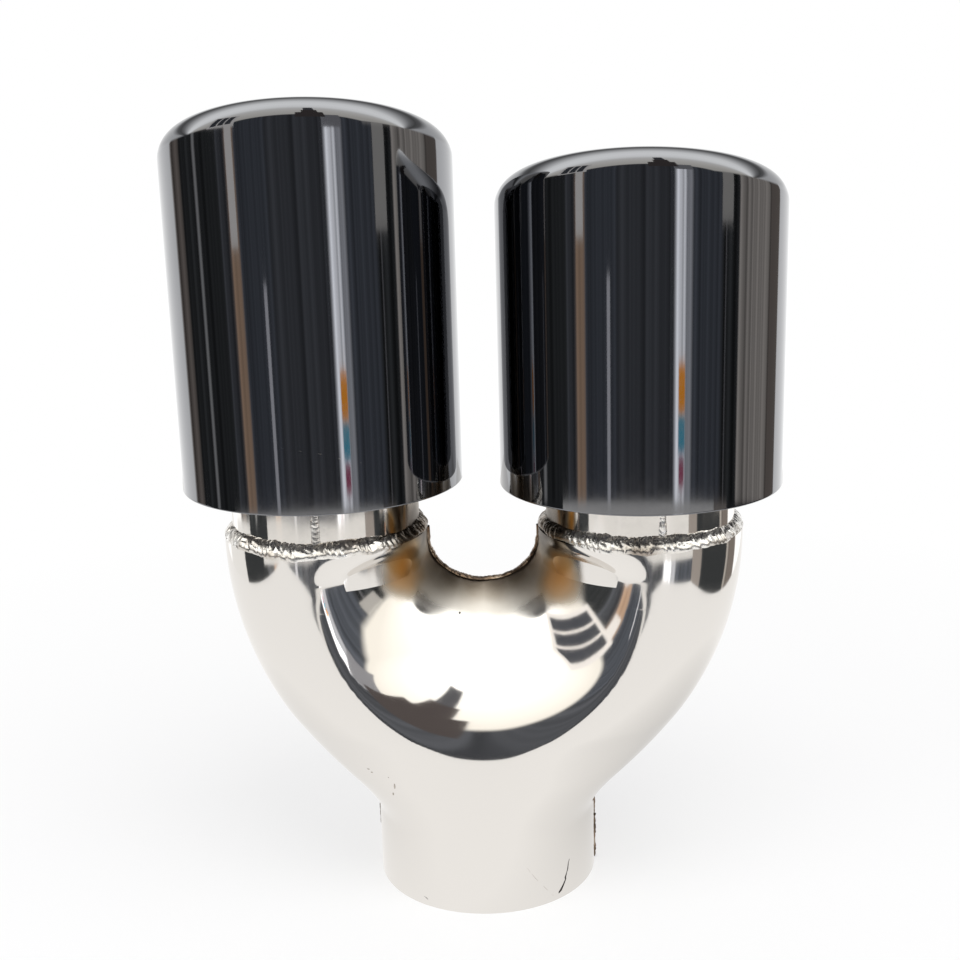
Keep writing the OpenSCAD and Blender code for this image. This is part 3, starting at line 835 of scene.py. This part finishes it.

# %% [markdown]
# The sleeves and end plates are plain dark rolled sheet, dull and slightly uneven in tone. The crack,
# the pit and the pinhole are near-black slivers, painted shade for the dark inside their openings.
# The mark at the inlet's edge and the nick share that near-black. Fresh scratches show pale bare metal.

# %% Dark sheet, painted shade in openings, and scratches
SHEET_SCALE = 180.0                                  # tone changes every 5.5 mm: 1 / 0.0055 m
dark_sheet, tree, shader = new_material("dark_rolled_sheet")
shader.inputs["Metallic"].default_value = 1.0
shader.inputs["Roughness"].default_value = 0.38
coords = add_node(tree, "ShaderNodeTexCoord").outputs["Object"]
grain = add_node(tree, "ShaderNodeTexNoise", {"Scale": SHEET_SCALE, "Detail": 5.0, "Vector": coords})
tone = add_node(tree, "ShaderNodeValToRGB", {0: grain.outputs["Fac"]},
                [(0.3, linear("#3A3A3C")), (0.7, linear("#56555A"))])
tree.links.new(tone.outputs["Color"], shader.inputs["Base Color"])
paint(dark_sheet, "tip_sleeve", "end_plate")

# painted shade: near-black slivers stand in for the dark inside the crack, the pit and the pinhole
dark_marks_and_opening_shade, tree, shader = new_material("dark_crack")
shader.inputs["Base Color"].default_value = linear("#1E1815")
shader.inputs["Roughness"].default_value = 0.8
paint(dark_marks_and_opening_shade, "inlet_crack", "web_pit", "inlet_mark", "stub_pinhole", "foot_nick")

faint, tree, shader = new_material("faint_scratch")
shader.inputs["Metallic"].default_value = 1.0
shader.inputs["Base Color"].default_value = linear("#B8B1A8")
shader.inputs["Roughness"].default_value = 0.35
paint(faint, "inlet_scratch", "press_mark", "tip_scratch")

# %% [markdown]
# The part was photographed on a white sheet in a room: the sheet is below, behind and beside it,
# the darker room lies behind the camera, with a few bright upright strips, and the ceiling is pale.
# A mirror shows all of that. Real walls and lamps would do too, but a world drawn by direction is
# simpler to match, so it holds the room for glossy rays. The camera sees white.

# %% World: directions in degrees
world = bpy.data.worlds.new("white_sheet_and_room")
bpy.context.scene.world = world
world.use_nodes = True
tree = world.node_tree
tree.nodes.clear()
looking = add_node(tree, "ShaderNodeTexCoord").outputs["Generated"]
axes = add_node(tree, "ShaderNodeSeparateXYZ", {0: looking}).outputs
ahead = add_node(tree, "ShaderNodeMath", {0: axes["Y"], 1: -1.0}, operation="MULTIPLY").outputs[0]
turn = add_node(tree, "ShaderNodeMath", {0: axes["X"], 1: ahead}, operation="ARCTAN2").outputs[0]
azimuth = add_node(tree, "ShaderNodeMath", {0: turn}, operation="DEGREES").outputs[0]
rise = add_node(tree, "ShaderNodeMath", {0: axes["Z"]}, operation="ARCSINE").outputs[0]
elevation = add_node(tree, "ShaderNodeMath", {0: rise}, operation="DEGREES").outputs[0]
over = add_node(tree, "ShaderNodeMath", {0: axes["Z"], 1: ahead}, operation="ARCTAN2").outputs[0]
overhead = add_node(tree, "ShaderNodeMath", {0: over}, operation="DEGREES").outputs[0]
print("azimuth 0 is the camera side, positive toward +X")

# %% [markdown]
# Along the horizon the room is a row of upright bands: black furniture, a blue-grey wall, brown
# door frames, a lit strip on the left and a bright window strip on the right. Each band is given
# by its two edges in degrees and its colour in linear light. White paper closes the circle behind.
# A ramp holds 32 stops at most, so the left and right rooms have one ramp each.

# %% World: the bands of the room
PAPER, BLACK = (1.3, 1.3, 1.3), (0.045, 0.048, 0.05)
BLUE_GREY, WALL_GREY = (0.10, 0.11, 0.13), (0.095, 0.10, 0.112)
BROWN_FRAME, GREY_DOOR, DARK_FRAME = (0.62, 0.42, 0.29), (0.50, 0.46, 0.42), (0.22, 0.19, 0.17)
BANDS = [(-180, -117, PAPER), (-116.4, -104, DARK_FRAME), (-103, -86, BLACK),
         (-85.6, -84.4, (0.6, 0.6, 0.6)), (-84, -63, BLACK), (-62, -55, WALL_GREY),
         (-54, -48, BROWN_FRAME), (-47, -23, BLUE_GREY), (-21, 22, WALL_GREY),
         (23.5, 30, (2.1, 2.12, 2.2)), (30.5, 35.5, (0.55, 0.56, 0.6)), (36.5, 60, BLUE_GREY),
         (61, 76, BLACK), (77, 112, GREY_DOOR), (113, 128, DARK_FRAME), (129, 180, PAPER)]
MIDDLE_BAND = 8                                      # the band straight ahead is in both ramps


def band_stops(bands):
    return [(edge / 360 + 0.5, colour) for start, end, colour in bands for edge in (start, end)]


share = add_node(tree, "ShaderNodeMath", {0: azimuth, 1: 1 / 360, 2: 0.5},
                 operation="MULTIPLY_ADD").outputs[0]
left_room = add_node(tree, "ShaderNodeValToRGB", {0: share}, band_stops(BANDS[:MIDDLE_BAND + 1]))
right_room = add_node(tree, "ShaderNodeValToRGB", {0: share}, band_stops(BANDS[MIDDLE_BAND:]))
at_right = add_node(tree, "ShaderNodeMath", {0: azimuth, 1: 0.0}, operation="GREATER_THAN").outputs[0]
room = add_node(tree, "ShaderNodeMix",
                {"Factor": at_right, 6: left_room.outputs["Color"], 7: right_room.outputs["Color"]},
                data_type="RGBA").outputs[2]
print("room bands:", len(BANDS))

# %% [markdown]
# A real room isn't flat bands: folds, edges and shadows draw fine upright streaks through it. They
# come from a noise along the azimuth alone, and stop where the white paper starts.

# %% World: upright streaks
STREAK_SCALE, STREAK_GAIN, STREAK_BASE, PAPER_FROM = 0.2, 2.4, -0.2, 116.0     # one streak in 5 degrees
streaks = add_node(tree, "ShaderNodeTexNoise", {"Scale": STREAK_SCALE, "Detail": 3.0, "W": azimuth},
                   noise_dimensions="1D").outputs["Fac"]
sideways = add_node(tree, "ShaderNodeMath", {0: azimuth}, operation="ABSOLUTE").outputs[0]
in_room = add_node(tree, "ShaderNodeMath", {0: sideways, 1: PAPER_FROM},
                   operation="LESS_THAN").outputs[0]
streak = add_node(tree, "ShaderNodeMath", {0: streaks, 1: STREAK_GAIN, 2: STREAK_BASE},
                  operation="MULTIPLY_ADD").outputs[0]
room = add_node(tree, "ShaderNodeMix", {"Factor": in_room, 6: room, 7: streak}, data_type="RGBA",
                blend_type="MULTIPLY").outputs[2]
print("streaks reach to", PAPER_FROM, "degrees on each side")

# %% [markdown]
# Smaller things in the room are patches between two azimuths and two elevations: a bright strip at
# the left, the lit part of a door frame, small coloured things below the window, an edge and a pale
# box at the right. Far below the horizon, just over the sheet's edge, lie bands that only the stub
# tubes mirror.

# %% World: patches in the room
ROOM_PATCHES = [((-29.5, -27), (-40, -6), (0.8, 0.8, 0.85)), ((-54, -48), (-4.5, 40), (1.1, 1.05, 1.0)),
                ((25.5, 30.5), (-11.6, -9.6), (1.5, 0.55, 0.05)),
                ((25.5, 30.5), (-13.2, -11.7), (0.12, 0.55, 0.75)),
                ((26, 30), (-14.6, -13.4), (0.55, 0.10, 0.20)),
                ((63.6, 64.4), (-40, 40), (0.22, 0.22, 0.23)), ((60, 70), (-4, 3), (0.55, 0.53, 0.5))]
LOW_BAND = (-30, -15.2)
LOW_PATCHES = [((-130, -98), LOW_BAND, (0.95, 0.94, 0.92)), ((-98, -69), LOW_BAND, BLACK),
               ((-68, 60), (-17.6, -15.2), (0.92, 0.90, 0.87)), ((56, 68), LOW_BAND, (0.38, 0.34, 0.31)),
               ((69, 108), LOW_BAND, BLACK)]


def patch(behind, az, el, colour):
    across = add_node(tree, "ShaderNodeMath", {0: azimuth, 1: sum(az) / 2, 2: (az[1] - az[0]) / 2},
                      operation="COMPARE").outputs[0]
    upward = add_node(tree, "ShaderNodeMath", {0: elevation, 1: sum(el) / 2, 2: (el[1] - el[0]) / 2},
                      operation="COMPARE").outputs[0]
    inside = add_node(tree, "ShaderNodeMath", {0: across, 1: upward}, operation="MULTIPLY").outputs[0]
    return add_node(tree, "ShaderNodeMix", {"Factor": inside, 6: behind, 7: colour + (1.0,)},
                    data_type="RGBA").outputs[2]


for az, el, colour in ROOM_PATCHES + LOW_PATCHES:
    room = patch(room, az, el, colour)
print("room patches:", len(ROOM_PATCHES + LOW_PATCHES))

# %% [markdown]
# Above the room is the pale ceiling. It starts high in front, where the dark wall is near, and
# low at the sides. It is brightest just over the wall and dull at the back. Its ramp runs over the
# head from the front (0) to the back (1).

# %% World: the ceiling
CEILING = [(0.10, (1.2, 1.15, 1.05)), (0.20, (1.45, 1.40, 1.30)), (0.26, (1.6, 1.57, 1.50)),
           (0.33, (2.3, 2.3, 2.25)), (0.42, (2.5, 2.5, 2.45)), (0.52, (2.3, 2.3, 2.25)),
           (0.62, (1.4, 1.4, 1.38)), (0.72, (0.5, 0.5, 0.5)), (0.78, (0.2, 0.2, 0.2)),
           (0.82, (0.3, 0.3, 0.3)), (0.87, (1.1, 1.1, 1.1))]
WALL_RISE, WALL_BASE, SIDE_LIMIT, EDGE_SHARPNESS = 0.71, -0.364, 0.06, 16.0
arc = add_node(tree, "ShaderNodeMath", {0: overhead, 1: 180.0}, operation="DIVIDE").outputs[0]
ceiling = add_node(tree, "ShaderNodeValToRGB", {0: arc}, CEILING).outputs["Color"]
wall_top = add_node(tree, "ShaderNodeMath", {0: ahead, 1: WALL_RISE, 2: WALL_BASE},
                    operation="MULTIPLY_ADD").outputs[0]
limit = add_node(tree, "ShaderNodeMath", {0: wall_top, 1: SIDE_LIMIT}, operation="MAXIMUM").outputs[0]
above = add_node(tree, "ShaderNodeMath", {0: axes["Z"], 1: limit}, operation="SUBTRACT").outputs[0]
edge = add_node(tree, "ShaderNodeMath", {0: above, 1: EDGE_SHARPNESS, 2: 0.5},
                operation="MULTIPLY_ADD").outputs[0]
edge = add_node(tree, "ShaderNodeMath", {0: edge, 1: 0.0}, operation="MAXIMUM").outputs[0]
edge = add_node(tree, "ShaderNodeMath", {0: edge, 1: 1.0}, operation="MINIMUM").outputs[0]
sky = add_node(tree, "ShaderNodeMix", {"Factor": edge, 6: room, 7: ceiling},
               data_type="RGBA").outputs[2]
print("ceiling stops:", len(CEILING))

# %% [markdown]
# The web of the collector looks up, and shows what stands against the ceiling: a lit wall with
# three dark window panes at the left, a grey cupboard and a dark cloth at the right, and a black
# box above it. The web is hollow from side to side, so the left of the room appears at its right.

# %% World: things against the ceiling
LIT_WALL, PANE = (1.15, 1.10, 1.05), (0.085, 0.09, 0.105)
BLACK_BOX, DARK_CLOTH = (0.12, 0.12, 0.13), (0.10, 0.085, 0.082)
PANE_HEIGHTS = (4, 25)
HIGH_PATCHES = [((-70, -45.5), (2, 27), LIT_WALL), ((-67.5, -61.7), PANE_HEIGHTS, PANE),
                ((-60.3, -55.0), PANE_HEIGHTS, PANE), ((-53.7, -48.5), PANE_HEIGHTS, PANE),
                ((22, 36), (1, 16), (0.35, 0.35, 0.37)), ((9, 19), (37, 50), BLACK_BOX),
                ((2, 25), (8, 27), DARK_CLOTH), ((7, 21), (26.5, 37.5), DARK_CLOTH)]
for az, el, colour in HIGH_PATCHES:
    sky = patch(sky, az, el, colour)
print("things against the ceiling:", len(HIGH_PATCHES))

# %% [markdown]
# Each kind of ray gets its own world: the camera sees plain white, mirrors see the room, and all
# other rays get an even pale light, so that the room's bright strips don't light the part twice.

# %% World: what each kind of ray sees
PLAIN_LIGHT, PAPER_WHITE = (0.75, 0.75, 0.76, 1.0), (1.0, 1.0, 1.0, 1.0)
rays = add_node(tree, "ShaderNodeLightPath").outputs
mirrored = add_node(tree, "ShaderNodeMath",
                    {0: rays["Is Glossy Ray"], 1: rays["Is Transmission Ray"]},
                    operation="MAXIMUM").outputs[0]
plain = add_node(tree, "ShaderNodeMix", {"Factor": rays["Is Camera Ray"], 6: PLAIN_LIGHT, 7: PAPER_WHITE},
                 data_type="RGBA").outputs[2]
seen = add_node(tree, "ShaderNodeMix", {"Factor": mirrored, 6: plain, 7: sky},
                data_type="RGBA").outputs[2]
background = add_node(tree, "ShaderNodeBackground", {"Strength": 1.0, "Color": seen})
add_node(tree, "ShaderNodeOutputWorld", {"Surface": background.outputs[0]})
print("world nodes:", len(tree.nodes))

# %% [markdown]
# The floor the camera sees is one large white sheet that takes the shadow and fades to white. What
# the metal mirrors is the real, smaller sheet: it ends 0.36 m in front, 0.39 m at the left and
# 0.32 m at the right, and its front right corner is cut. So the tips and the web see past its edge
# into the room, while the lower body sees only paper.

# %% Floor
FRONT, LEFT, RIGHT, BACK = -0.362, -0.385, 0.32, 0.6     # edges of the mirrored sheet, in metres
CUT_CORNER = [(0.20, FRONT), (RIGHT, -0.20)]


def sheet(name, corners):
    mesh = bpy.data.meshes.new(name)
    mesh.from_pydata([(x, y, 0.0) for x, y in corners], [], [tuple(range(len(corners)))])
    obj = bpy.data.objects.new(name, mesh)
    bpy.context.scene.collection.objects.link(obj)
    return obj


floor = sheet("white_sheet", [(-4, -4), (4, -4), (4, 6), (-4, 6)])
floor.visible_glossy = False
mirrored_sheet = sheet("sheet_as_mirrored", [(LEFT, FRONT), *CUT_CORNER, (RIGHT, BACK), (LEFT, BACK)])
mirrored_sheet.visible_camera = False
mirrored_sheet.visible_diffuse = False
mirrored_sheet.visible_shadow = False
print("mirrored sheet m:", round(RIGHT - LEFT, 3), "x", round(BACK - FRONT, 3))

# %% [markdown]
# White paper is matt and a little less than white in itself. Close to the part it takes the
# shadow. Further off it glows for the camera alone, so that the picture's background is white
# without more light on the part.

# %% White paper
paper, tree, shader = new_material("white_paper_sheet")
shader.inputs["Base Color"].default_value = (0.88, 0.88, 0.88, 1.0)
shader.inputs["Roughness"].default_value = 1.0
shader.inputs["Specular IOR Level"].default_value = 0.0
coords = add_node(tree, "ShaderNodeTexCoord").outputs["Object"]
from_part = add_node(tree, "ShaderNodeVectorMath", {0: coords}, operation="LENGTH").outputs["Value"]
away = add_node(tree, "ShaderNodeMapRange", {"Value": from_part, "From Min": 0.12, "From Max": 0.5,
                                             "To Min": 0.55, "To Max": 1.0}).outputs["Result"]
rays = add_node(tree, "ShaderNodeLightPath").outputs
keep = add_node(tree, "ShaderNodeMath", {0: away, 1: rays["Is Camera Ray"]},
                operation="MULTIPLY").outputs[0]
glow = add_node(tree, "ShaderNodeEmission", {"Color": (1.0, 1.0, 1.0, 1.0), "Strength": 1.0})
blend = add_node(tree, "ShaderNodeMixShader", {"Fac": keep, 1: shader.outputs[0], 2: glow.outputs[0]})
tree.links.new(blend.outputs[0], tree.nodes["Material Output"].inputs["Surface"])
floor.data.materials.append(paper)
print("paper on", floor.name)

# %% [markdown]
# The mirrored sheet is lit paper with a warm cast, drawn as a glow. A painted pool of light makes it
# a little brighter close to the part. Painted shadows make it darker where the tips stand in the
# light above it, more at the right than at the left.

# %% Lit paper in the mirror
TIP_PAINTED_SHADOWS = [((0.09, 0.04, 0.0), 0.13, 0.74), ((-0.09, 0.04, 0.0), 0.11, 0.88)]     # place, reach, light
lit_paper, tree, shader = new_material("lit_paper_in_the_mirror")
coords = add_node(tree, "ShaderNodeTexCoord").outputs["Object"]
from_part = add_node(tree, "ShaderNodeVectorMath", {0: coords}, operation="LENGTH").outputs["Value"]
# painted pool of light: the glow is a little stronger close to the part
strength = add_node(tree, "ShaderNodeMapRange", {"Value": from_part, "From Min": 0.03, "From Max": 0.40,
                                                 "To Min": 1.03, "To Max": 0.98}).outputs["Result"]
# painted shadows of the tips: the glow is dimmed round each place, down to its light share
for spot, reach, dark in TIP_PAINTED_SHADOWS:
    gap = add_node(tree, "ShaderNodeVectorMath", {0: coords, 1: spot}, operation="DISTANCE")
    shade = add_node(tree, "ShaderNodeMapRange", {"Value": gap.outputs["Value"], "From Min": 0.02,
                                                  "From Max": reach, "To Min": dark, "To Max": 1.0})
    strength = add_node(tree, "ShaderNodeMath", {0: strength, 1: shade.outputs["Result"]},
                        operation="MULTIPLY").outputs[0]
glow = add_node(tree, "ShaderNodeEmission", {"Color": (1.0, 0.988, 0.972, 1.0), "Strength": strength})
tree.links.new(glow.outputs[0], tree.nodes["Material Output"].inputs["Surface"])
mirrored_sheet.data.materials.append(lit_paper)
print("shades under the tips:", len(TIP_PAINTED_SHADOWS))

# %% [markdown]
# One large soft lamp above and one weaker lamp from the left give the weld ripples and the floor
# their shading. They don't show in the mirror finish, where the room itself is the light.

# %% Lamps
def soft_lamp(name, place, target, size, watts):
    lamp = bpy.data.lights.new(name, "AREA")
    lamp.shape, lamp.size, lamp.energy = "SQUARE", size, watts
    obj = bpy.data.objects.new(name, lamp)
    bpy.context.scene.collection.objects.link(obj)
    obj.location = place
    obj.rotation_euler = (Vector(target) - Vector(place)).to_track_quat("-Z", "Y").to_euler()
    obj.visible_glossy = False
    print(name, watts, "W")
    return obj


soft_lamp("top_softbox", (0.3, -0.5, 1.4), (0, 0, 0.1), 1.0, 9)
soft_lamp("left_softbox", (-1.1, -0.6, 0.6), (0, 0, 0.15), 0.8, 4)

# %% [markdown]
# The camera was found by fitting the outlines of the tips and the inlet: a focal length of 1400
# pixels on a 960 pixel frame, half a metre away, looking down by 14 degrees with a slight roll.

# %% Camera
FOCAL_PIXELS, FRAME_PIXELS, SENSOR_MM = 1400, 960, 36.0
CAMERA_PLACE = (0.0210, -0.4952, 0.2779)
CAMERA_RIGHT, CAMERA_UP = (0.9991, 0.0342, -0.0268), (0.0176, 0.2467, 0.9689)
CAMERA_FORWARD = (-0.0397, 0.9685, -0.2459)
camera_data = bpy.data.cameras.new("camera")
camera_data.sensor_width = SENSOR_MM
camera_data.lens = SENSOR_MM * FOCAL_PIXELS / FRAME_PIXELS
camera_data.clip_start, camera_data.clip_end = 0.01, 20
camera = bpy.data.objects.new("camera", camera_data)
bpy.context.scene.collection.objects.link(camera)
rotation = Matrix((CAMERA_RIGHT, CAMERA_UP, tuple(-c for c in CAMERA_FORWARD))).transposed()
camera.matrix_world = Matrix.Translation(CAMERA_PLACE) @ rotation.to_4x4()
bpy.context.scene.camera = camera
bpy.context.scene.view_settings.view_transform = "Standard"
print("lens mm:", round(camera_data.lens, 1))
